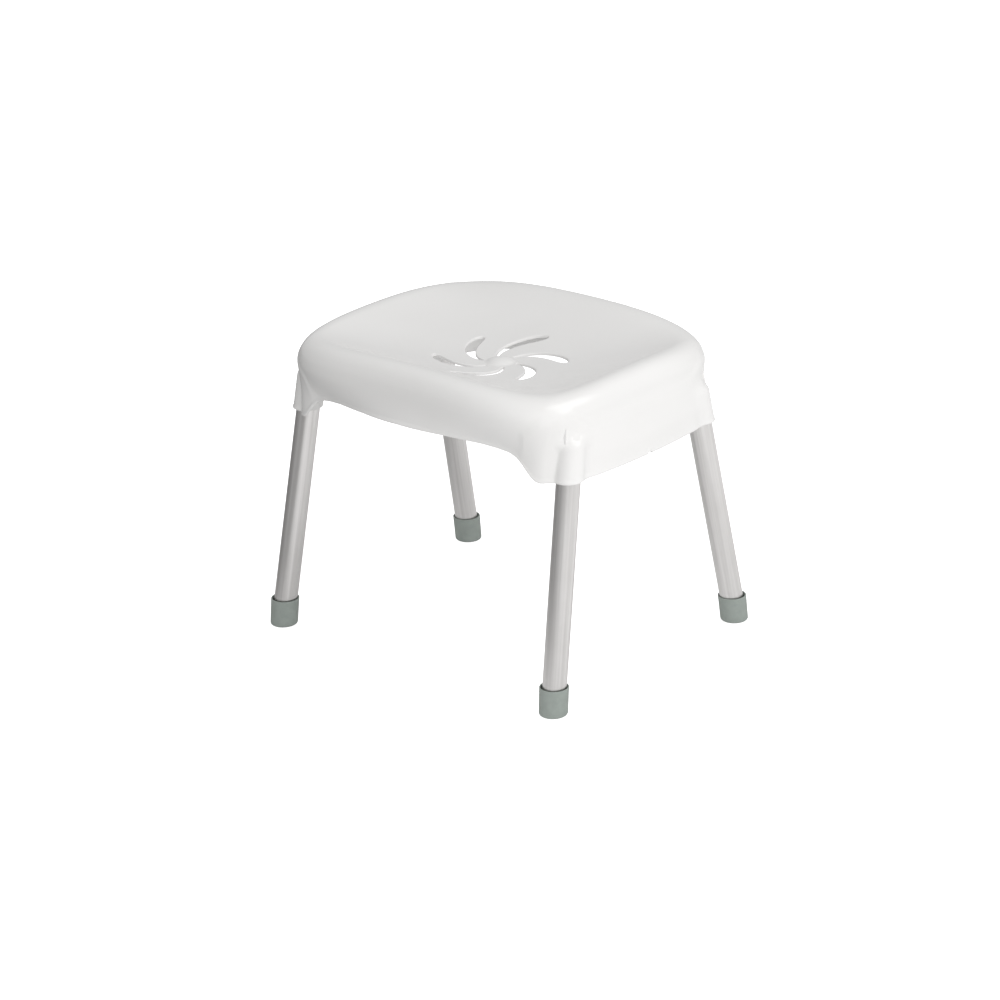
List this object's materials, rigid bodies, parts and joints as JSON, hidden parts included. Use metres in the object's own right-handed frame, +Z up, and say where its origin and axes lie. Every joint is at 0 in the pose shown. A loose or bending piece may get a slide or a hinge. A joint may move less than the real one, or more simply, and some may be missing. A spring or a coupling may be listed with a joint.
{
  "type": "shower stool",
  "caption": "Low shower stool: dished white moulded seat with a swirl drain and a deep rim, on splayed aluminium tube legs with rubber feet, each leg held by a snap button.",
  "frame": {"origin": "on the floor, below the middle of the seat", "axes": "+X along the long way of the seat, +Y from the front to the back of the short way, +Z up"},
  "size_m": [0.468, 0.377, 0.3771],
  "materials": {
    "seat_plastic": "smooth white moulded plastic, semi-gloss",
    "leg_aluminium": "satin anodised tube, fine lines along its length",
    "foot_rubber": "matt grey-green rubber",
    "inner_steel": "plain steel"
  },
  "bodies": {
    "frame": {"seat": "seat_plastic", "leg_tube_front_right": "leg_aluminium", "foot_front_right": "foot_rubber", "foot_washer_front_right": "inner_steel", "spring_clip_front_right": "inner_steel", "leg_tube_front_left": "leg_aluminium", "foot_front_left": "foot_rubber", "foot_washer_front_left": "inner_steel", "spring_clip_front_left": "inner_steel", "leg_tube_back_right": "leg_aluminium", "foot_back_right": "foot_rubber", "foot_washer_back_right": "inner_steel", "spring_clip_back_right": "inner_steel", "leg_tube_back_left": "leg_aluminium", "foot_back_left": "foot_rubber", "foot_washer_back_left": "inner_steel", "spring_clip_back_left": "inner_steel"},
    "button_front_right": {"snap_button_front_right": "inner_steel"},
    "button_front_left": {"snap_button_front_left": "inner_steel"},
    "button_back_right": {"snap_button_back_right": "inner_steel"},
    "button_back_left": {"snap_button_back_left": "inner_steel"}
  },
  "joints": [
    {"name": "button_press_front_right", "type": "slide", "parent": "frame", "child": "button_front_right", "axis": [0.7096, -0.6854, 0.1632], "range_m": [0, 0.006], "stiffness_N_per_m": 900, "deforming": ["spring_clip_front_right"]},
    {"name": "button_press_front_left", "type": "slide", "parent": "frame", "child": "button_front_left", "axis": [-0.7096, -0.6854, 0.1632], "range_m": [0, 0.006], "stiffness_N_per_m": 900, "deforming": ["spring_clip_front_left"]},
    {"name": "button_press_back_right", "type": "slide", "parent": "frame", "child": "button_back_right", "axis": [0.7096, 0.6854, 0.1632], "range_m": [0, 0.006], "stiffness_N_per_m": 900, "deforming": ["spring_clip_back_right"]},
    {"name": "button_press_back_left", "type": "slide", "parent": "frame", "child": "button_back_left", "axis": [-0.7096, 0.6854, 0.1632], "range_m": [0, 0.006], "stiffness_N_per_m": 900, "deforming": ["spring_clip_back_left"]}
  ]
}
